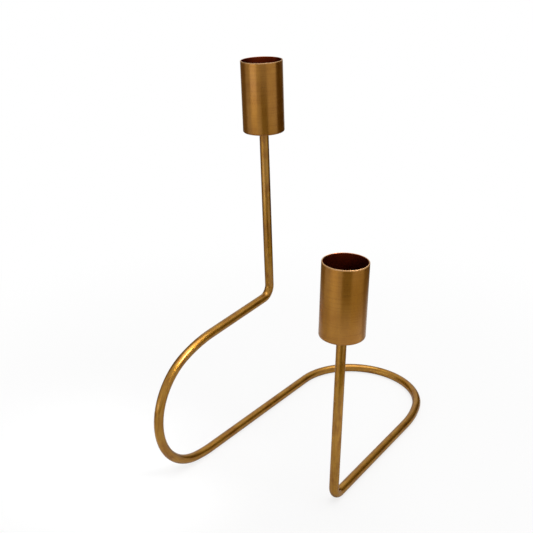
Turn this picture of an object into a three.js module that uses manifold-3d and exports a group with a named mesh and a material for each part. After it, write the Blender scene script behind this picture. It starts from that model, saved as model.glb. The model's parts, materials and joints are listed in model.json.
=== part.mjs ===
// Double taper candle holder: one round rod, bent into a flat loop on the table and an upright loop at the
// front, carries a cup on each of its two upturned ends. A screw and a washer clamp each cup to its rod end.
// Millimetres, +Z up. The table is z = 0, the front is -Y, and the short stem stands on the +X side.
// The origin is on the table, under the middle of the object's box.
import * as THREE from 'three';
import { mergeVertices } from 'three/addons/utils/BufferGeometryUtils.js';
import Module from 'manifold-3d';

// Rod: its section, the straight lengths between its bends, and the bends on the rod's centre line
const ROD_D = 6;
const SHORT_STEM = 104.3;
const TALL_STEM = 108.2;
const SHORT_LEG = 92.5;
const BASE_LEG = 114.5;
const RISING_LEG = 57.3;
const STEM_BEND_R = 8;
const LOOP_R = 45.5;
const LOOP_TURN_DEG = 178.2;
const NOSE_R = 40.3;
const NOSE_TURN_DEG = 175.9;
// A shallow bend leads into each loop and out of the nose, and is part of that loop's whole turn
const LEAD_R = 92;
const LOOP_LEAD_DEG = 17;
const NOSE_LEAD_DEG = 10;
const NOSE_TAIL_DEG = 17;
// The stems lean away from each other, each about its own leg, and the tall one also tips to the front
const SHORT_LEAN_DEG = 0.9;
const TALL_LEAN_DEG = 1.1;
const TALL_TIP_DEG = 1.8;

// Cup: drawn from sheet, with a rounded bottom edge and an eased rim
const CUP_OD = 27;
const CUP_H = 45.5;
const CUP_WALL = 0.8;
const CUP_EDGE_R = 1;
const RIM_ROUND = 0.35;

// Screw and washer inside each cup; the rod's end keeps a wall of this thickness around the screw's hole
const ROD_END_WALL = 0.7;
const SCREW_L = 12;
const SCREW_TIP = 0.6;
const HEAD_D = 8;
const HEAD_H = 3.1;
const HEAD_ROUND = 1.5;
const RECESS_SPAN = 4.2;
const RECESS_W = 0.9;
const RECESS_DEPTH = 1.6;
const WASHER_D = 9;
const WASHER_T = 0.8;
const HOLE_SPARE = 1.5;

// Clearances: between stacked faces, and all round a shank in its hole
const SEAT_GAP = 0.3;
const HOLE_GAP = 0.3;

// How finely round forms are divided
const ROD_SIDES = 20;
const LOOP_STEPS = 30;
const LEAD_STEPS = 4;
const STEM_BEND_STEPS = 8;
const CUP_SIDES = 48;
const SCREW_SIDES = 24;
const ROUND_STEPS = 4;

// Worked out from the sizes above
const ROD_R = ROD_D / 2;
const HOLE_R = ROD_R - ROD_END_WALL;
const SCREW_R = HOLE_R - HOLE_GAP;
const FLOOR_TOP = SEAT_GAP + CUP_WALL;
const WASHER_BOTTOM = FLOOR_TOP + SEAT_GAP;
const HEAD_BOTTOM = WASHER_BOTTOM + WASHER_T + SEAT_GAP;
const SCREW_REACH = SCREW_L - HEAD_BOTTOM;

const UP = new THREE.Vector3(0, 0, 1);
const FRONT = new THREE.Vector3(0, -1, 0);
const radians = THREE.MathUtils.degToRad;

// Satin antique brass: the rod and the cups are brushed, and the fixings inside the cups are plain brass
const rodBrass = new THREE.MeshStandardMaterial({ color: 0x94672f, roughness: 0.36, metalness: 1 });
const cupBrass = new THREE.MeshStandardMaterial({ color: 0x9a6b30, roughness: 0.32, metalness: 1 });
const fixingBrass = new THREE.MeshStandardMaterial({ color: 0x8a6a3a, roughness: 0.4, metalness: 1 });

const wasm = await Module();
wasm.setup();

function toSolid(geometry) {
  const bare = geometry.clone();
  bare.deleteAttribute('normal');
  bare.deleteAttribute('uv');
  const merged = mergeVertices(bare);
  return new wasm.Manifold(new wasm.Mesh({
    numProp: 3,
    vertProperties: new Float32Array(merged.attributes.position.array),
    triVerts: new Uint32Array(merged.index.array),
  }));
}

function toGeometry(solid) {
  const mesh = solid.getMesh();
  const geometry = new THREE.BufferGeometry();
  geometry.setAttribute('position', new THREE.BufferAttribute(mesh.vertProperties, 3));
  geometry.setIndex(new THREE.BufferAttribute(mesh.triVerts, 1));
  geometry.computeVertexNormals();
  return geometry;
}

function cut(geometry, ...tools) {
  let solid = toSolid(geometry);
  for (const tool of tools) {
    solid = solid.subtract(toSolid(tool));
  }
  return toGeometry(solid);
}

// A turned form: its profile is (radius, height) points, and its axis is Z
function turned(profile, sides) {
  const points = profile.map(([radius, height]) => new THREE.Vector2(radius, height));
  return new THREE.LatheGeometry(points, sides).rotateX(Math.PI / 2);
}

// Points on a quarter round of a profile, about (x, y), from one angle to another
function quarterRound(x, y, radius, fromDeg, toDeg) {
  const points = [];
  for (let step = 0; step <= ROUND_STEPS; step += 1) {
    const angle = radians(fromDeg + (toDeg - fromDeg) * step / ROUND_STEPS);
    points.push([x + radius * Math.cos(angle), y + radius * Math.sin(angle)]);
  }
  return points;
}

// A rod as a bending bench makes it: straight feeds and round bends, one after another. Each station keeps
// the section's cross direction, turned with every bend, so that the section never twists along the rod.
class RodPath extends THREE.Curve {
  constructor(start, tangent, normal) {
    super();
    this.stations = [{ point: start.clone(), tangent: tangent.clone(), normal: normal.clone() }];
  }

  // The same stretch, walked from its other end
  reversed() {
    const back = new RodPath(this.end.point, this.end.tangent, this.end.normal);
    back.stations = this.stations.toReversed().map(({ point, tangent, normal }) => (
      { point, tangent: tangent.clone().negate(), normal }
    ));
    return back;
  }

  get end() {
    return this.stations[this.stations.length - 1];
  }

  get steps() {
    return this.stations.length - 1;
  }

  feed(length) {
    const { point, tangent, normal } = this.end;
    this.stations.push({ point: point.clone().addScaledVector(tangent, length), tangent, normal });
    return this;
  }

  bend(axis, radius, angle, steps) {
    const { point, tangent, normal } = this.end;
    const toCentre = axis.clone().cross(tangent).multiplyScalar(radius);
    const centre = point.clone().add(toCentre);
    for (let step = 1; step <= steps; step += 1) {
      const turn = angle * step / steps;
      this.stations.push({
        point: toCentre.clone().negate().applyAxisAngle(axis, turn).add(centre),
        tangent: tangent.clone().applyAxisAngle(axis, turn),
        normal: normal.clone().applyAxisAngle(axis, turn),
      });
    }
    return this;
  }

  // A bend from the rod's present direction to another one
  bendTo(direction, radius, steps) {
    const axis = this.end.tangent.clone().cross(direction).normalize();
    return this.bend(axis, radius, this.end.tangent.angleTo(direction), steps);
  }

  getPointAt(share) {
    return this.stations[Math.round(share * this.steps)].point.clone();
  }

  computeFrenetFrames() {
    return {
      tangents: this.stations.map(({ tangent }) => tangent),
      normals: this.stations.map(({ normal }) => normal),
      binormals: this.stations.map(({ tangent, normal }) => tangent.clone().cross(normal)),
    };
  }
}

// The rod's section has a flat underneath, and the flats of all that lies on the table are at z = 0
const sectionPoints = [];
for (let side = 0; side < ROD_SIDES; side += 1) {
  const angle = (side + 0.5) * 2 * Math.PI / ROD_SIDES;
  sectionPoints.push(new THREE.Vector2(ROD_R * Math.cos(angle), ROD_R * Math.sin(angle)));
}
const rodSection = new THREE.Shape(sectionPoints);
const axisHeight = ROD_R * Math.cos(Math.PI / ROD_SIDES);

// The base leg runs to the front, and the flat loop turns into it from the short leg's way to the back.
// Each stem leans about its own leg.
const shortLegWay = FRONT.clone().applyAxisAngle(UP, -radians(LOOP_TURN_DEG));
const shortStemUp = UP.clone().applyAxisAngle(shortLegWay, radians(SHORT_LEAN_DEG));
const noseAxis = FRONT.clone().cross(UP);
const tallStemUp = UP.clone()
  .applyAxisAngle(FRONT, radians(TALL_LEAN_DEG))
  .applyAxisAngle(noseAxis, -radians(TALL_TIP_DEG));

// The rod is followed up from the short leg to the short cup, then back down that stem and on to the tall cup
const shortLegStart = new THREE.Vector3(0, 0, axisHeight);
const shortStemPath = new RodPath(shortLegStart, shortLegWay.clone().negate(), UP)
  .bendTo(shortStemUp, STEM_BEND_R, STEM_BEND_STEPS)
  .feed(SHORT_STEM);
const rodPath = shortStemPath.reversed()
  .feed(SHORT_LEG)
  .bend(UP, LEAD_R, radians(LOOP_LEAD_DEG), LEAD_STEPS)
  .bend(UP, LOOP_R, radians(LOOP_TURN_DEG - LOOP_LEAD_DEG), LOOP_STEPS)
  .feed(BASE_LEG)
  .bend(noseAxis, LEAD_R, radians(NOSE_LEAD_DEG), LEAD_STEPS)
  .bend(noseAxis, NOSE_R, radians(NOSE_TURN_DEG - NOSE_LEAD_DEG - NOSE_TAIL_DEG), LOOP_STEPS)
  .bend(noseAxis, LEAD_R, radians(NOSE_TAIL_DEG), LEAD_STEPS)
  .feed(RISING_LEG)
  .bendTo(tallStemUp, STEM_BEND_R, STEM_BEND_STEPS)
  .feed(TALL_STEM);

// A frame with its Z along a stem, at the rod's end: all that sits on that end is built upwards from it
function stemFrame(end, up) {
  const frame = new THREE.Group();
  frame.position.copy(end);
  frame.quaternion.setFromUnitVectors(UP, up);
  frame.updateMatrix();
  return frame;
}
const stems = [
  { name: 'short', frame: stemFrame(shortStemPath.end.point, shortStemUp) },
  { name: 'tall', frame: stemFrame(rodPath.end.point, tallStemUp) },
];

const holder = new THREE.Group();

// Bent rod, drilled at both ends for the screws
const rodBar = new THREE.ExtrudeGeometry(rodSection, { steps: rodPath.steps, extrudePath: rodPath });
const drillDepth = SCREW_REACH + HOLE_SPARE;
const drills = stems.map(({ frame }) => {
  const drill = new THREE.CylinderGeometry(HOLE_R, HOLE_R, drillDepth + HOLE_SPARE, SCREW_SIDES);
  drill.rotateX(Math.PI / 2).translate(0, 0, (HOLE_SPARE - drillDepth) / 2);
  return drill.applyMatrix4(frame.matrix);
});
const rod = new THREE.Mesh(cut(rodBar, ...drills), rodBrass);
rod.name = 'bent_rod';
holder.add(rod);

// Cup, washer and screw, each drawn on the stem's own axis from the rod's end upwards
function cupGeometry() {
  const outer = CUP_OD / 2;
  const inner = outer - CUP_WALL;
  const innerEdge = Math.max(CUP_EDGE_R - CUP_WALL, RIM_ROUND);
  const rim = Math.min(RIM_ROUND, CUP_WALL / 2.5);
  const top = SEAT_GAP + CUP_H;
  const profile = [
    [HOLE_R, SEAT_GAP],
    ...quarterRound(outer - CUP_EDGE_R, SEAT_GAP + CUP_EDGE_R, CUP_EDGE_R, -90, 0),
    ...quarterRound(outer - rim, top - rim, rim, 0, 90),
    ...quarterRound(inner + rim, top - rim, rim, 90, 180),
    ...quarterRound(inner - innerEdge, FLOOR_TOP + innerEdge, innerEdge, 0, -90),
    [HOLE_R, FLOOR_TOP],
    [HOLE_R, SEAT_GAP],
  ];
  return turned(profile, CUP_SIDES);
}

function washerGeometry() {
  const top = WASHER_BOTTOM + WASHER_T;
  const profile = [
    [HOLE_R, WASHER_BOTTOM],
    [WASHER_D / 2, WASHER_BOTTOM],
    [WASHER_D / 2, top],
    [HOLE_R, top],
    [HOLE_R, WASHER_BOTTOM],
  ];
  return turned(profile, SCREW_SIDES);
}

function screwGeometry() {
  const headTop = HEAD_BOTTOM + HEAD_H;
  const profile = [
    [0, -SCREW_REACH],
    [SCREW_R - SCREW_TIP, -SCREW_REACH],
    [SCREW_R, SCREW_TIP - SCREW_REACH],
    [SCREW_R, HEAD_BOTTOM],
    [HEAD_D / 2, HEAD_BOTTOM],
    ...quarterRound(HEAD_D / 2 - HEAD_ROUND, headTop - HEAD_ROUND, HEAD_ROUND, 0, 90),
    [0, headTop],
  ];
  const arms = [[RECESS_SPAN, RECESS_W], [RECESS_W, RECESS_SPAN]].map(([x, y]) => (
    new THREE.BoxGeometry(x, y, 2 * RECESS_DEPTH).translate(0, 0, headTop)
  ));
  return cut(turned(profile, SCREW_SIDES), ...arms);
}

for (const { name, frame } of stems) {
  const pieces = [
    [`${name}_cup`, cupGeometry(), cupBrass],
    [`${name}_cup_washer`, washerGeometry(), fixingBrass],
    [`${name}_cup_screw`, screwGeometry(), fixingBrass],
  ];
  for (const [pieceName, geometry, material] of pieces) {
    const piece = new THREE.Mesh(geometry, material);
    piece.name = pieceName;
    frame.add(piece);
  }
  holder.add(frame);
}

// The origin goes under the middle of the object's box, on the table
const middle = new THREE.Box3().setFromObject(holder, true).getCenter(new THREE.Vector3());
holder.position.set(-middle.x, -middle.y, 0);

export default holder;
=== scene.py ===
"""Double taper candle holder in satin antique brass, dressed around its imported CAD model, in metres."""
import json
import math
import bmesh
import bpy
from mathutils import Matrix, Vector


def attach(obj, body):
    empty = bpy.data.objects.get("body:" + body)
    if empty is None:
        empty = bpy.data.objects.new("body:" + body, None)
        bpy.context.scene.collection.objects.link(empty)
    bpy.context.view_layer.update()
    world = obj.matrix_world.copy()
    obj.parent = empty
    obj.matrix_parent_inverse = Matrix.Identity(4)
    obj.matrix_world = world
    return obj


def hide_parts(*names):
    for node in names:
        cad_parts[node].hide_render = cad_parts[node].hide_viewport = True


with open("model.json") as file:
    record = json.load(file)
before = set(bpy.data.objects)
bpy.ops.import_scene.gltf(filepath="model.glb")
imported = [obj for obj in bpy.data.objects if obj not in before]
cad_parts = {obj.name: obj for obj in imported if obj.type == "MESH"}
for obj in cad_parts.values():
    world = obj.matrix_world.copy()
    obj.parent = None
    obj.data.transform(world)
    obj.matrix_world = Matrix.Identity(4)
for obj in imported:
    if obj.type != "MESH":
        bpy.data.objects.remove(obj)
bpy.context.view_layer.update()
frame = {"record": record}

# Bent rod. One length of round brass bar, fed and bent cold in a single run from the end of the short
# stem to the end of the tall stem. It is brushed lengthwise, toned and lacquered, and each end is cut
# square and drilled for the screw that holds its cup.
ROD_R = 0.003
ROD_SIDES = 48
SHORT_STEM = 0.1043
SHORT_LEG = 0.0925
BASE_LEG = 0.1145
RISING_LEG = 0.0573
TALL_STEM = 0.1082
STEM_BEND_R = 0.008
FLAT_LOOP_R = 0.0455
FLAT_LOOP_TURN = math.radians(178.2)
FLAT_LOOP_LEAD = math.radians(17)
UPRIGHT_LOOP_R = 0.0403
UPRIGHT_LOOP_TURN = math.radians(175.9)
UPRIGHT_LOOP_LEAD = math.radians(10)
UPRIGHT_LOOP_TAIL = math.radians(17)
LEAD_R = 0.092
BEND_STEP = math.radians(2.5)
LEAST_BEND_STEPS = 8
UPWARD = Vector((0, 0, 1))
TO_FRONT = Vector((0, -1, 0))
FLAT_LOOP_AXIS = UPWARD
UPRIGHT_LOOP_AXIS = Vector((-1, 0, 0))
SHORT_END = Vector((0.0503691, -0.0533462, 0.1152492))
SHORT_LEG_WAY = Matrix.Rotation(-FLAT_LOOP_TURN, 3, FLAT_LOOP_AXIS) @ TO_FRONT
SEAT_GAP = 0.0003
SEAT_SLACK = 0.00005
SEAT_CLOSE = SEAT_GAP - SEAT_SLACK
END_CHAMFER = 0.0002
END_CHAMFER_STEPS = 2
SCREW_HOLE_R = 0.0023
SCREW_HOLE_DEPTH = 0.011 + SEAT_CLOSE
MERGE_WITHIN = 1e-7
SHARP_EDGE = math.radians(38)
ROD_LIGHT = (0.38, 0.195, 0.021, 1)
ROD_DARK = (0.25, 0.102, 0.004, 1)
ROD_TONING_PER_M = (70, 70, 70)
TONE_SHARES = (-0.4, 1.4)
ROD_BLOTCH = (0.18, 0.061, 0.001, 1)
ROD_BLOTCHES_PER_M = (300, 300, 110)
ROD_BLOTCH_DETAIL = 3.0
ROD_BLOTCH_LIMITS = (0.48, 0.70)
ROD_BLOTCH_SHARES = (0.0, 0.75)
ROD_GROOVE = (0.12, 0.040, 0.001, 1)
ROD_GRAIN_PER_M = (1300, 1300, 60)
ROD_GROOVE_LIMITS = (0.5, 0.72)
ROD_GROOVE_SHARES = (0.0, 0.35)
ROD_ROUGHNESS = (0.31, 0.36)
ROD_BRUSHING = 0.02
BRUSHING_DEPTH = 0.00004
BRASS_EDGE_TINT = (0.62, 0.50, 0.40, 1)
LACQUER = 0.5
ROD_LACQUER_ROUGHNESS = 0.12
COLOUR_MIX_SHARE = 0
COLOUR_MIX_FIRST = 6
COLOUR_MIX_SECOND = 7
COLOUR_MIX_RESULT = 2

candle_axes = {mount["name"]: Vector(mount["axis"]).normalized() for mount in frame["record"]["mounts"]}
SHORT_UP = candle_axes["short_candle_seat"]
TALL_UP = candle_axes["tall_candle_seat"]


class RodBender:
    """Feeds a round bar and bends it, one stretch after another, and leaves its skin in a mesh.
    The rod_grain attribute keeps each point's place on the straight bar, for the brushing."""

    def __init__(self, skin, start, way):
        self.skin = skin
        self.place = start.copy()
        self.way = way.normalized()
        self.grain = skin.verts.layers.float_vector.new("rod_grain")
        corners = bmesh.ops.create_circle(skin, segments=ROD_SIDES, radius=ROD_R)["verts"]
        for corner in corners:
            corner[self.grain] = corner.co
        turn = UPWARD.rotation_difference(self.way).to_matrix()
        bmesh.ops.rotate(skin, verts=corners, cent=(0, 0, 0), matrix=turn)
        bmesh.ops.translate(skin, verts=corners, vec=self.place)
        self.ring = skin.edges[:]

    def take_ring(self, swept, length):
        corners = [part for part in swept if isinstance(part, bmesh.types.BMVert)]
        for corner in corners:
            corner[self.grain] = corner[self.grain] + UPWARD * length
        edges = [part for part in swept if isinstance(part, bmesh.types.BMEdge)]
        self.ring = [edge for edge in edges if all(end in corners for end in edge.verts)]
        return corners

    def feed(self, length):
        swept = bmesh.ops.extrude_edge_only(self.skin, edges=self.ring)["geom"]
        corners = self.take_ring(swept, length)
        bmesh.ops.translate(self.skin, verts=corners, vec=self.way * length)
        self.place += self.way * length

    def bend(self, axis, radius, angle):
        centre = self.place + axis.cross(self.way) * radius
        steps = max(LEAST_BEND_STEPS, round(angle / BEND_STEP))
        for step in range(steps):
            swept = bmesh.ops.spin(
                self.skin, geom=self.ring, cent=centre, axis=axis, angle=angle / steps, steps=1
            )["geom_last"]
            self.take_ring(swept, radius * angle / steps)
        turn = Matrix.Rotation(angle, 3, axis)
        self.place = centre + turn @ (self.place - centre)
        self.way = turn @ self.way

    def bend_to(self, target, radius):
        self.bend(self.way.cross(target).normalized(), radius, self.way.angle(target))


def close_rod_end(skin, ring, outward):
    """Caps a rod end, drills it for the screw and takes the sharp edge off."""
    cap = bmesh.ops.edgeloop_fill(skin, edges=ring)["faces"]
    bmesh.ops.inset_region(skin, faces=cap, thickness=ROD_R - SCREW_HOLE_R, use_even_offset=True)
    bottom = bmesh.ops.extrude_discrete_faces(skin, faces=cap)["faces"]
    bmesh.ops.translate(skin, verts=bottom[0].verts, vec=-outward * SCREW_HOLE_DEPTH)
    bmesh.ops.bevel(
        skin, geom=ring, offset=END_CHAMFER, affect="EDGES", segments=END_CHAMFER_STEPS, profile=0.5,
        material=-1
    )


def place_piece(name, skin, finishes, node):
    """Makes a finished bmesh the scene's piece that stands for a CAD node."""
    bmesh.ops.remove_doubles(skin, verts=skin.verts, dist=MERGE_WITHIN)
    bmesh.ops.recalc_face_normals(skin, faces=skin.faces)
    for face in skin.faces:
        face.smooth = True
    mesh = bpy.data.meshes.new(name)
    skin.to_mesh(mesh)
    skin.free()
    mesh.set_sharp_from_angle(angle=SHARP_EDGE)
    for finish in finishes:
        mesh.materials.append(finish)
    piece = bpy.data.objects.new(name, mesh)
    bpy.context.scene.collection.objects.link(piece)
    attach(piece, "root")
    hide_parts(node)


def add_node(tree, kind, inputs=None, **settings):
    """Adds a shader node, sets its options, and sets or links its inputs by name or number."""
    made = tree.nodes.new(kind)
    for option, value in settings.items():
        setattr(made, option, value)
    for socket, value in (inputs or {}).items():
        if isinstance(value, bpy.types.NodeSocket):
            tree.links.new(value, made.inputs[socket])
        else:
            made.inputs[socket].default_value = value
    return made


def new_finish(name):
    """A new material, its node tree and its shader."""
    finish = bpy.data.materials.new(name)
    finish.use_nodes = True
    return finish, finish.node_tree, finish.node_tree.nodes["Principled BSDF"]


def cloud(tree, place, per_metre, detail=5.0, roughness=0.6):
    """A 0 to 1 noise at a place, with so many spots to a metre each way."""
    drawn = add_node(tree, "ShaderNodeMapping", {"Vector": place, "Scale": per_metre}).outputs["Vector"]
    return add_node(
        tree, "ShaderNodeTexNoise",
        {"Vector": drawn, "Scale": 1.0, "Detail": detail, "Roughness": roughness},
    ).outputs["Fac"]


def spread(tree, value, results, limits=(0.0, 1.0)):
    """Maps a value between two limits to the range between two results."""
    return add_node(
        tree, "ShaderNodeMapRange",
        {
            "Value": value, "From Min": limits[0], "From Max": limits[1],
            "To Min": results[0], "To Max": results[1],
        },
    ).outputs["Result"]


def between(tree, share, first, second):
    """Mixes two colours by a 0 to 1 share."""
    return add_node(
        tree, "ShaderNodeMix",
        {COLOUR_MIX_SHARE: share, COLOUR_MIX_FIRST: first, COLOUR_MIX_SECOND: second},
        data_type="RGBA",
    ).outputs[COLOUR_MIX_RESULT]


rod_skin = bmesh.new()
bender = RodBender(rod_skin, SHORT_END + SHORT_UP * SEAT_CLOSE, -SHORT_UP)
short_ring = bender.ring
bender.feed(SHORT_STEM + SEAT_CLOSE)
bender.bend_to(SHORT_LEG_WAY, STEM_BEND_R)
bender.feed(SHORT_LEG)
bender.bend(FLAT_LOOP_AXIS, LEAD_R, FLAT_LOOP_LEAD)
bender.bend(FLAT_LOOP_AXIS, FLAT_LOOP_R, FLAT_LOOP_TURN - FLAT_LOOP_LEAD)
bender.feed(BASE_LEG)
bender.bend(UPRIGHT_LOOP_AXIS, LEAD_R, UPRIGHT_LOOP_LEAD)
bender.bend(
    UPRIGHT_LOOP_AXIS, UPRIGHT_LOOP_R, UPRIGHT_LOOP_TURN - UPRIGHT_LOOP_LEAD - UPRIGHT_LOOP_TAIL
)
bender.bend(UPRIGHT_LOOP_AXIS, LEAD_R, UPRIGHT_LOOP_TAIL)
bender.feed(RISING_LEG)
bender.bend_to(TALL_UP, STEM_BEND_R)
bender.feed(TALL_STEM + SEAT_CLOSE)
close_rod_end(rod_skin, bender.ring, TALL_UP)
close_rod_end(rod_skin, short_ring, SHORT_UP)

rod_finish, tree, shader = new_finish("rod_brass")
on_bar = add_node(tree, "ShaderNodeAttribute", attribute_name="rod_grain").outputs["Vector"]
grain = cloud(tree, on_bar, ROD_GRAIN_PER_M)
toning = cloud(tree, on_bar, ROD_TONING_PER_M)
blotches = cloud(tree, on_bar, ROD_BLOTCHES_PER_M, detail=ROD_BLOTCH_DETAIL)
toned = between(tree, spread(tree, toning, TONE_SHARES), ROD_DARK, ROD_LIGHT)
blotch_share = spread(tree, blotches, ROD_BLOTCH_SHARES, ROD_BLOTCH_LIMITS)
blotched = between(tree, blotch_share, toned, ROD_BLOTCH)
groove_share = spread(tree, grain, ROD_GROOVE_SHARES, ROD_GROOVE_LIMITS)
tree.links.new(between(tree, groove_share, blotched, ROD_GROOVE), shader.inputs["Base Color"])
tree.links.new(spread(tree, grain, ROD_ROUGHNESS), shader.inputs["Roughness"])
brushing = add_node(
    tree, "ShaderNodeBump", {"Height": grain, "Strength": ROD_BRUSHING, "Distance": BRUSHING_DEPTH}
)
tree.links.new(brushing.outputs["Normal"], shader.inputs["Normal"])
shader.inputs["Metallic"].default_value = 1.0
shader.inputs["Specular Tint"].default_value = BRASS_EDGE_TINT
shader.inputs["Coat Weight"].default_value = LACQUER
shader.inputs["Coat Roughness"].default_value = ROD_LACQUER_ROUGHNESS
place_piece("rod", rod_skin, [rod_finish], "bent_rod")

# Cups. Two equal drawn brass cups with a small round at the bottom edge and a hole in the floor for the
# screw. The outside is brushed round, toned and lacquered as the rod is, the rim is rubbed bright, and
# the bottom edge carries a band of painted shade. The inside is left dark from the tone, with painted
# shade that deepens it further down the bore.
CUP_R = 0.0135
CUP_H = 0.0455
CUP_WALL = 0.0008
BORE_R = CUP_R - CUP_WALL
CUP_EDGE_R = 0.001
INSIDE_EDGE_R = 0.00035
RIM_ROUND = 0.0003
ROUND_STEPS = 6
CUP_SIDES = 128
TALL_END = bender.place - TALL_UP * SEAT_CLOSE
CUP_LIGHT = (0.375, 0.168, 0.018, 1)
CUP_DARK = (0.265, 0.102, 0.005, 1)
CUP_TONING_PER_M = (80, 80, 80)
CUP_GROOVE = (0.16, 0.053, 0.002, 1)
CUP_RINGS_PER_M = (40, 40, 1400)
CUP_RING_LIMITS = (0.5, 0.75)
CUP_RING_SHARES = (0.0, 0.33)
CUP_DASHES_PER_M = (130, 130, 1500)
CUP_DASH_DETAIL = 3.0
CUP_DASH_LIMITS = (0.58, 0.75)
CUP_DASH_SHARES = (0.0, 0.35)
# Painted shade: a narrow band at the cup's bottom edge is darkened toward the groove colour, standing in
# for the shaded floor its round reflects
FOOT_SHADE_LIMITS = (0.0, 0.0016)
FOOT_SHADE_SHARES = (0.7, 0.0)
RIM_BRIGHT = (0.50, 0.29, 0.12, 1)
RIM_BAND = 0.0007
RIM_LIMITS = (CUP_H - RIM_BAND, CUP_H - RIM_ROUND)
RIM_SHARES = (0.0, 1.0)
CUP_ROUGHNESS = (0.22, 0.40)
RIM_ROUGHNESS = (0.0, 0.75)
CUP_BRUSHING = 0.13
CUP_BRUSH_PULL = 0.65
QUARTER_TURN = 0.25
CUP_LACQUER_ROUGHNESS = 0.22
# Inside tones: the darkest is both the dark of the tarnish and the painted shade deep in the bore
INSIDE_DARK_TARNISH_AND_SHADE = (0.075, 0.006, 0.002, 1)
INSIDE_BROWN = (0.25, 0.036, 0.007, 1)
INSIDE_EDGE_TINT = (0.30, 0.16, 0.08, 1)
# Painted shade: the bore darkens from the rim down toward its floor between these heights
INSIDE_SHADE_LIMITS = (0.024, 0.044)
INSIDE_SHADE_SHARES = (0.0, 1.0)
TARNISH_PER_M = (220, 220, 220)
TARNISH_DETAIL = 6.0
TARNISH_COARSENESS = 0.65
TARNISH_SHARES = (0.1, 0.9)
INSIDE_ROUGHNESS = (0.32, 0.46)


def turned(points, rounds, sides, closed=True):
    """Spins a profile of (radius, height) points about Z, with some corners rounded first."""
    blank = bmesh.new()
    corners = [blank.verts.new((radius, 0, height)) for radius, height in points]
    for first, second in zip(corners, corners[1:]):
        blank.edges.new((first, second))
    if closed:
        blank.edges.new((corners[-1], corners[0]))
    for index, radius in rounds.items():
        bmesh.ops.bevel(
            blank, geom=[corners[index]], offset=radius, affect="VERTICES", segments=ROUND_STEPS,
            profile=0.5, material=-1
        )
    bmesh.ops.spin(
        blank, geom=blank.verts[:] + blank.edges[:], cent=(0, 0, 0), axis=UPWARD,
        angle=2 * math.pi, steps=sides, use_merge=True
    )
    bmesh.ops.remove_doubles(blank, verts=blank.verts, dist=MERGE_WITHIN)
    bmesh.ops.recalc_face_normals(blank, faces=blank.faces)
    return blank


def seat_on_stem(skin, rod_end, up, height):
    """Moves a piece made upright at the origin to a height above a rod's end, along its stem.
    The lathe_place attribute keeps each point's place on the upright piece, for the brushing."""
    lathe_place = skin.verts.layers.float_vector.new("lathe_place")
    for corner in skin.verts:
        corner[lathe_place] = corner.co
    turn = UPWARD.rotation_difference(up).to_matrix()
    bmesh.ops.rotate(skin, verts=skin.verts, cent=(0, 0, 0), matrix=turn)
    bmesh.ops.translate(skin, verts=skin.verts, vec=rod_end + up * height)


def lathe_height(tree, on_lathe):
    """How high a point of a turned piece is above that piece's own foot."""
    return add_node(tree, "ShaderNodeSeparateXYZ", {"Vector": on_lathe}).outputs["Z"]


cup_finish, tree, shader = new_finish("cup_brass")
on_lathe = add_node(tree, "ShaderNodeAttribute", attribute_name="lathe_place").outputs["Vector"]
on_cup = add_node(tree, "ShaderNodeTexCoord").outputs["Object"]
rings = cloud(tree, on_lathe, CUP_RINGS_PER_M)
dashes = cloud(tree, on_lathe, CUP_DASHES_PER_M, detail=CUP_DASH_DETAIL)
toning = cloud(tree, on_cup, CUP_TONING_PER_M)
toned = between(tree, spread(tree, toning, TONE_SHARES), CUP_DARK, CUP_LIGHT)
ringed = between(tree, spread(tree, rings, CUP_RING_SHARES, CUP_RING_LIMITS), toned, CUP_GROOVE)
dashed = between(tree, spread(tree, dashes, CUP_DASH_SHARES, CUP_DASH_LIMITS), ringed, CUP_GROOVE)
height = lathe_height(tree, on_lathe)
# Painted shade darkens the narrow band at the bottom edge
foot_shaded = between(tree, spread(tree, height, FOOT_SHADE_SHARES, FOOT_SHADE_LIMITS), dashed, CUP_GROOVE)
rubbed = spread(tree, height, RIM_SHARES, RIM_LIMITS)
tree.links.new(between(tree, rubbed, foot_shaded, RIM_BRIGHT), shader.inputs["Base Color"])
satin = add_node(
    tree, "ShaderNodeMath",
    {0: spread(tree, rings, CUP_ROUGHNESS), 1: spread(tree, rubbed, RIM_ROUGHNESS)}, operation="MAXIMUM"
)
tree.links.new(satin.outputs["Value"], shader.inputs["Roughness"])
brushing = add_node(
    tree, "ShaderNodeBump", {"Height": rings, "Strength": CUP_BRUSHING, "Distance": BRUSHING_DEPTH}
)
tree.links.new(brushing.outputs["Normal"], shader.inputs["Normal"])
round_axis = add_node(tree, "ShaderNodeTangent", direction_type="RADIAL", axis="Z")
tree.links.new(round_axis.outputs["Tangent"], shader.inputs["Tangent"])
shader.inputs["Anisotropic"].default_value = CUP_BRUSH_PULL
shader.inputs["Anisotropic Rotation"].default_value = QUARTER_TURN
shader.inputs["Metallic"].default_value = 1.0
shader.inputs["Specular Tint"].default_value = BRASS_EDGE_TINT
shader.inputs["Coat Weight"].default_value = LACQUER
shader.inputs["Coat Roughness"].default_value = CUP_LACQUER_ROUGHNESS

inside_finish, tree, shader = new_finish("cup_inside")
on_lathe = add_node(tree, "ShaderNodeAttribute", attribute_name="lathe_place").outputs["Vector"]
on_cup = add_node(tree, "ShaderNodeTexCoord").outputs["Object"]
tarnish = cloud(tree, on_cup, TARNISH_PER_M, detail=TARNISH_DETAIL, roughness=TARNISH_COARSENESS)
tarnished = between(tree, spread(tree, tarnish, TARNISH_SHARES), INSIDE_DARK_TARNISH_AND_SHADE, INSIDE_BROWN)
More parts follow.
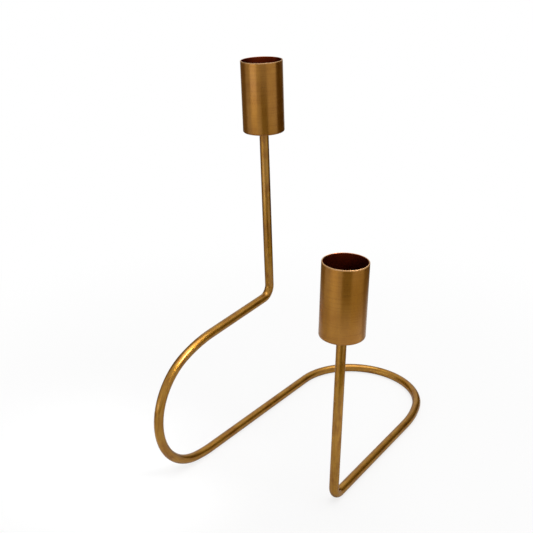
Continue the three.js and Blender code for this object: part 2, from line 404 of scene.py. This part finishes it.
# Painted shade: deeper in the bore the tarnish colour gives way to the darkest tone
painted_bore_shade = spread(tree, lathe_height(tree, on_lathe), INSIDE_SHADE_SHARES, INSIDE_SHADE_LIMITS)
tree.links.new(between(tree, painted_bore_shade, INSIDE_DARK_TARNISH_AND_SHADE, tarnished), shader.inputs["Base Color"])
tree.links.new(spread(tree, tarnish, INSIDE_ROUGHNESS), shader.inputs["Roughness"])
shader.inputs["Metallic"].default_value = 1.0
shader.inputs["Specular Tint"].default_value = INSIDE_EDGE_TINT

for name, node, rod_end, up in (
    ("cup_tall", "tall_cup", TALL_END, TALL_UP),
    ("cup_short", "short_cup", SHORT_END, SHORT_UP),
):
    cup = turned(
        [
            (SCREW_HOLE_R, 0), (CUP_R, 0), (CUP_R, CUP_H),
            (BORE_R, CUP_H), (BORE_R, CUP_WALL), (SCREW_HOLE_R, CUP_WALL),
        ],
        {1: CUP_EDGE_R, 2: RIM_ROUND, 3: RIM_ROUND, 4: INSIDE_EDGE_R},
        CUP_SIDES,
    )
    for face in cup.faces:
        middle = face.calc_center_median()
        if middle.z > CUP_WALL / 2 and middle.xy.length < BORE_R + RIM_ROUND / 2:
            face.material_index = 1
    seat_on_stem(cup, rod_end, up, SEAT_GAP)
    place_piece(name, cup, [cup_finish, inside_finish], node)

# Washers. A flat brass washer lies on each cup's floor, under the screw's head, and spreads the
# clamping force over the thin floor. It is stamped from sheet and left plain.
WASHER_R = 0.0045
WASHER_T = 0.0008
WASHER_ROUND = 0.00015
WASHER_SEAT = SEAT_GAP + CUP_WALL + SEAT_GAP
FIXING_SIDES = 48
FIXING_LIGHT = (0.44, 0.27, 0.10, 1)
FIXING_DARK = (0.27, 0.15, 0.05, 1)
DULLING_PER_M = (500, 500, 500)
DULLING_COARSENESS = 0.5
FIXING_ROUGHNESS = (0.32, 0.48)

fixing_finish, tree, shader = new_finish("fixing_brass")
on_fixing = add_node(tree, "ShaderNodeTexCoord").outputs["Object"]
dulling = cloud(tree, on_fixing, DULLING_PER_M, roughness=DULLING_COARSENESS)
dulled = between(tree, spread(tree, dulling, TONE_SHARES), FIXING_DARK, FIXING_LIGHT)
tree.links.new(dulled, shader.inputs["Base Color"])
tree.links.new(spread(tree, dulling, FIXING_ROUGHNESS), shader.inputs["Roughness"])
shader.inputs["Metallic"].default_value = 1.0

for name, node, rod_end, up in (
    ("washer_tall", "tall_cup_washer", TALL_END, TALL_UP),
    ("washer_short", "short_cup_washer", SHORT_END, SHORT_UP),
):
    washer = turned(
        [
            (SCREW_HOLE_R, 0), (WASHER_R, 0), (WASHER_R, WASHER_T), (SCREW_HOLE_R, WASHER_T),
        ],
        {1: WASHER_ROUND, 2: WASHER_ROUND},
        FIXING_SIDES,
    )
    seat_on_stem(washer, rod_end, up, WASHER_SEAT)
    place_piece(name, washer, [fixing_finish], node)

# Screws. A short brass pan-head screw with a cross recess, turned from bar, goes down through each
# washer and cup floor into the drilled rod end, and clamps the cup there.
SCREW_R = 0.002
SCREW_L = 0.012
SCREW_TIP = 0.0006
HEAD_R = 0.004
HEAD_H = 0.0031
HEAD_ROUND = 0.0015
HEAD_SEAT = WASHER_SEAT + WASHER_T + SEAT_GAP
CROWN_MARGIN = 0.00005
CROWN_R = HEAD_R - HEAD_ROUND - CROWN_MARGIN
RECESS_HALF_SPAN = 0.0021
RECESS_HALF_W = 0.00045
RECESS_DEPTH = 0.0016
RECESS_TAPER = 0.55

for name, node, rod_end, up in (
    ("screw_tall", "tall_cup_screw", TALL_END, TALL_UP),
    ("screw_short", "short_cup_screw", SHORT_END, SHORT_UP),
):
    screw = turned(
        [
            (0, -SCREW_L), (SCREW_R - SCREW_TIP, -SCREW_L), (SCREW_R, SCREW_TIP - SCREW_L),
            (SCREW_R, 0), (HEAD_R, 0), (HEAD_R, HEAD_H), (CROWN_R, HEAD_H),
        ],
        {5: HEAD_ROUND},
        FIXING_SIDES,
        closed=False,
    )
    crown = [edge for edge in screw.edges if edge.is_boundary]
    arm, half = RECESS_HALF_SPAN, RECESS_HALF_W
    outline = [
        (arm, -half), (arm, half), (half, half), (half, arm), (-half, arm), (-half, half),
        (-arm, half), (-arm, -half), (-half, -half), (-half, -arm), (half, -arm), (half, -half),
    ]
    lip = [screw.verts.new((x, y, HEAD_H)) for x, y in outline]
    recess = [screw.edges.new((first, second)) for first, second in zip(lip, lip[1:] + lip[:1])]
    bmesh.ops.triangle_fill(screw, edges=crown + recess, use_beauty=True)
    walls = bmesh.ops.extrude_edge_only(screw, edges=recess)["geom"]
    floor_corners = [part for part in walls if isinstance(part, bmesh.types.BMVert)]
    bmesh.ops.scale(screw, verts=floor_corners, vec=(RECESS_TAPER, RECESS_TAPER, 1))
    bmesh.ops.translate(screw, verts=floor_corners, vec=(0, 0, -RECESS_DEPTH))
    floor_edges = [edge for edge in screw.edges if all(end in floor_corners for end in edge.verts)]
    bmesh.ops.edgeloop_fill(screw, edges=floor_edges)
    seat_on_stem(screw, rod_end, up, HEAD_SEAT)
    place_piece(name, screw, [fixing_finish], node)

# Floor. A white table that runs past the picture on every side, just under the rod. The camera sees it
# as plain white with a share of its real shading, which keeps the holder's soft shadow on it, and the
# metal sees more of that shading.
FLOOR_R = 8.0
FLOOR_SIDES = 96
FLOOR_DROP = 0.00004
FLOOR_WHITE = (0.9, 0.9, 0.9, 1)
SEEN_SHADING = 0.22
SHADING_NEAR = 0.14
SHADING_FAR = 0.42
MIRRORED_SHADING = 0.85


def cleared_tree(owner):
    """The node tree of a material or a world, emptied."""
    owner.use_nodes = True
    owner.node_tree.nodes.clear()
    return owner.node_tree


def seen_directly(tree):
    """1 for the rays by which the camera, metal and glass see a thing, and 0 for other rays."""
    rays = add_node(tree, "ShaderNodeLightPath").outputs
    either = add_node(
        tree, "ShaderNodeMath", {0: rays["Is Camera Ray"], 1: rays["Is Glossy Ray"]}, operation="MAXIMUM"
    ).outputs["Value"]
    return add_node(
        tree, "ShaderNodeMath", {0: either, 1: rays["Is Transmission Ray"]}, operation="MAXIMUM"
    ).outputs["Value"]


floor_mesh = bmesh.new()
bmesh.ops.create_circle(floor_mesh, cap_ends=True, segments=FLOOR_SIDES, radius=FLOOR_R)
bmesh.ops.translate(floor_mesh, verts=floor_mesh.verts, vec=(0, 0, -FLOOR_DROP))
floor_data = bpy.data.meshes.new("floor")
floor_mesh.to_mesh(floor_data)
floor_mesh.free()
floor = bpy.data.objects.new("floor", floor_data)
bpy.context.scene.collection.objects.link(floor)

floor_finish = bpy.data.materials.new("white_table")
tree = cleared_tree(floor_finish)
shaded = add_node(tree, "ShaderNodeBsdfDiffuse", {"Color": FLOOR_WHITE}).outputs["BSDF"]
white = add_node(tree, "ShaderNodeEmission", {"Strength": 1.0}).outputs["Emission"]
on_floor = add_node(tree, "ShaderNodeTexCoord").outputs["Object"]
distance = add_node(tree, "ShaderNodeVectorMath", {0: on_floor}, operation="LENGTH").outputs["Value"]
seen_share = add_node(
    tree, "ShaderNodeMapRange",
    {
        "Value": distance, "From Min": SHADING_NEAR, "From Max": SHADING_FAR,
        "To Min": SEEN_SHADING, "To Max": 0.0,
    },
    interpolation_type="SMOOTHSTEP",
).outputs["Result"]
in_metal = add_node(tree, "ShaderNodeLightPath").outputs["Is Glossy Ray"]
mirrored_share = add_node(
    tree, "ShaderNodeMath", {0: in_metal, 1: MIRRORED_SHADING}, operation="MULTIPLY"
).outputs["Value"]
share = add_node(
    tree, "ShaderNodeMath", {0: seen_share, 1: mirrored_share}, operation="MAXIMUM"
).outputs["Value"]
seen = add_node(tree, "ShaderNodeMixShader", {0: share, 1: white, 2: shaded}).outputs["Shader"]
table = add_node(tree, "ShaderNodeMixShader", {0: seen_directly(tree), 1: shaded, 2: seen})
add_node(tree, "ShaderNodeOutputMaterial", {"Surface": table.outputs["Shader"]})
floor_data.materials.append(floor_finish)

# Studio. A wide soft box overhead, a small narrow key lamp close above the table, aimed at the upright
# loop's nose and counted on its first hit only, a low strip in front, and glowing paper mats and curved
# cards that only the metal sees, which paint light and shade into its reflections. The room is white to
# the eye and dim as a light.
ROOM_WHITE = (1, 1, 1, 1)
ROOM_FILL = 0.5
OVERHEAD_SIZE = (0.82, 0.82)
OVERHEAD_PLACE = (0.10, 0.08, 1.15)
OVERHEAD_WHITE = 3.5
KEY_SIZE = (0.10, 0.10)
KEY_PLACE = (0.064, -0.079, 0.2025)
KEY_WHITE = 0.95
KEY_SPREAD = math.radians(30)
KEY_AIM = (-0.05, -0.10, 0.06)
KEY_BOUNCES = 0
STRIP_SIZE = (0.6, 0.16)
STRIP_PLACE = (-0.25, -0.90, 0.10)
STRIP_WHITE = 2.1
TABLE_AIM = (0, 0, 0.1)
WIDE_SPREAD = math.pi
LAMP_BOUNCES = 8
MAT_LIFT = 0.001
CARD_STEPS = 48
# Glow levels of the mats and cards, seen only in the metal: the paper tones are painted light, the browns
# painted shade
BRIGHT_PAPER = (1.22, 1.21, 1.16, 1)
PAPER = (0.90, 0.89, 0.85, 1)
PALE_GREY = (0.94, 0.93, 0.90, 1)
SAND = (0.30, 0.26, 0.17, 1)
MID_BROWN = (0.34, 0.26, 0.10, 1)
LEFT_BROWN = (0.30, 0.23, 0.11, 1)
DARK_BROWN = (0.15, 0.095, 0.025, 1)
SHADE_BROWN = (0.04, 0.025, 0.008, 1)
STONE = (0.62, 0.58, 0.48, 1)


def soft_box(name, place, size, white_level, aim=TABLE_AIM, spread_angle=WIDE_SPREAD, bounces=LAMP_BOUNCES):
    """A lamp aimed at a place, whose face is white_level times as bright as white paper."""
    lamp = bpy.data.lights.new(name, "AREA")
    lamp.shape = "RECTANGLE"
    lamp.size, lamp.size_y = size
    lamp.energy = white_level * math.pi * size[0] * size[1]
    lamp.spread = spread_angle
    lamp.cycles.max_bounces = bounces
    box = bpy.data.objects.new(name, lamp)
    box.location = place
    box.rotation_mode = "QUATERNION"
    box.rotation_quaternion = (Vector(aim) - Vector(place)).to_track_quat("-Z", "Y")
    box.visible_camera = False
    bpy.context.scene.collection.objects.link(box)


soft_box("overhead_box", OVERHEAD_PLACE, OVERHEAD_SIZE, OVERHEAD_WHITE)
soft_box("key_box", KEY_PLACE, KEY_SIZE, KEY_WHITE, KEY_AIM, KEY_SPREAD, KEY_BOUNCES)
soft_box("front_strip", STRIP_PLACE, STRIP_SIZE, STRIP_WHITE)

# The mats and cards glow with their painted tone, though they are no lamps
card_glow_finish = bpy.data.materials.new("card_glow")
tree = cleared_tree(card_glow_finish)
painted = add_node(tree, "ShaderNodeAttribute", attribute_name="card_glow_tone").outputs["Color"]
glow = add_node(tree, "ShaderNodeEmission", {"Color": painted, "Strength": 1.0})
add_node(tree, "ShaderNodeOutputMaterial", {"Surface": glow.outputs["Emission"]})


def studio_card(name, start, end, mat, upright=()):
    """A glowing paper mat round the table's middle, between two bearings in degrees from the back, with a
    tone at each distance, and a card that stands on its far edge with a tone at each height. Only the
    metal sees it, and its tones paint light and shade into the metal's reflections."""
    bands = [(distance, MAT_LIFT, tone) for distance, tone in mat]
    far_edge = mat[-1][0]
    bands += [(far_edge, height, tone) for height, tone in upright]
    card = bmesh.new()
    card_glow_tone = card.verts.layers.float_color.new("card_glow_tone")
    line = []
    for distance, height, tone in bands:
        point = card.verts.new((0, distance, height))
        point[card_glow_tone] = tone
        line.append(point)
    for first, second in zip(line, line[1:]):
        card.edges.new((first, second))
    bmesh.ops.rotate(
        card, verts=card.verts, cent=(0, 0, 0), matrix=Matrix.Rotation(math.radians(start), 3, "Z")
    )
    bmesh.ops.spin(
        card, geom=card.verts[:] + card.edges[:], cent=(0, 0, 0), axis=UPWARD,
        angle=math.radians(end - start), steps=CARD_STEPS
    )
    card_mesh = bpy.data.meshes.new(name)
    card.to_mesh(card_mesh)
    card.free()
    card_mesh.materials.append(card_glow_finish)
    card_piece = bpy.data.objects.new(name, card_mesh)
    card_piece.visible_camera = False
    card_piece.visible_diffuse = False
    card_piece.visible_shadow = False
    bpy.context.scene.collection.objects.link(card_piece)


studio_card(
    "camera_mat", start=-158, end=-119,
    mat=((0.14, BRIGHT_PAPER), (0.29, BRIGHT_PAPER), (0.37, SHADE_BROWN), (1.2, SHADE_BROWN)),
)
studio_card(
    "front_card", start=-119, end=-60,
    mat=(
        (0.14, BRIGHT_PAPER), (0.25, BRIGHT_PAPER), (0.33, SAND), (0.53, SAND), (0.60, PALE_GREY),
        (0.66, PALE_GREY),
    ),
    upright=((0.28, PALE_GREY),),
)
studio_card(
    "right_card", start=-60, end=-28,
    mat=((0.16, PAPER), (0.34, MID_BROWN), (0.62, DARK_BROWN)),
    upright=((0.38, DARK_BROWN), (0.56, MID_BROWN)),
)
studio_card(
    "far_card", start=-28, end=6,
    mat=((0.26, PAPER), (0.35, DARK_BROWN), (0.62, DARK_BROWN)),
    upright=((0.14, DARK_BROWN), (0.26, SAND), (0.60, STONE)),
)
studio_card(
    "far_mat", start=6, end=64,
    mat=((0.26, PAPER), (0.35, DARK_BROWN), (0.9, DARK_BROWN)),
)
studio_card(
    "left_card", start=64, end=114,
    mat=((0.24, PAPER), (0.34, LEFT_BROWN), (0.62, LEFT_BROWN)),
    upright=((0.46, LEFT_BROWN), (0.60, SAND)),
)
studio_card(
    "left_mat", start=114, end=160,
    mat=((0.18, PAPER), (0.25, STONE), (0.38, STONE), (0.46, PAPER)),
)

room = bpy.data.worlds.new("white_room")
bpy.context.scene.world = room
tree = cleared_tree(room)
brightness = spread(tree, seen_directly(tree), (ROOM_FILL, 1.0))
air = add_node(tree, "ShaderNodeBackground", {"Color": ROOM_WHITE, "Strength": brightness})
add_node(tree, "ShaderNodeOutputWorld", {"Surface": air.outputs["Background"]})

# Camera. It stands where the photograph was taken from, in front and to the right, a little above,
# and looks down at the holder through a medium lens with everything in focus.
CAMERA_PLACE = (0.2744485, -0.4340495, 0.3352321)
CAMERA_WAY = Vector((-0.545952, 0.749592, -0.374231))
CAMERA_LENS = 58.007
SENSOR_WIDTH = 36.0
NEAREST_SEEN = 0.01
FARTHEST_SEEN = 40.0

camera_data = bpy.data.cameras.new("camera")
camera_data.lens = CAMERA_LENS
camera_data.sensor_width = SENSOR_WIDTH
camera_data.clip_start = NEAREST_SEEN
camera_data.clip_end = FARTHEST_SEEN
camera = bpy.data.objects.new("camera", camera_data)
camera.location = CAMERA_PLACE
camera.rotation_mode = "QUATERNION"
camera.rotation_quaternion = CAMERA_WAY.to_track_quat("-Z", "Y")
bpy.context.scene.collection.objects.link(camera)
bpy.context.scene.camera = camera
bpy.context.scene.view_settings.view_transform = "Standard"
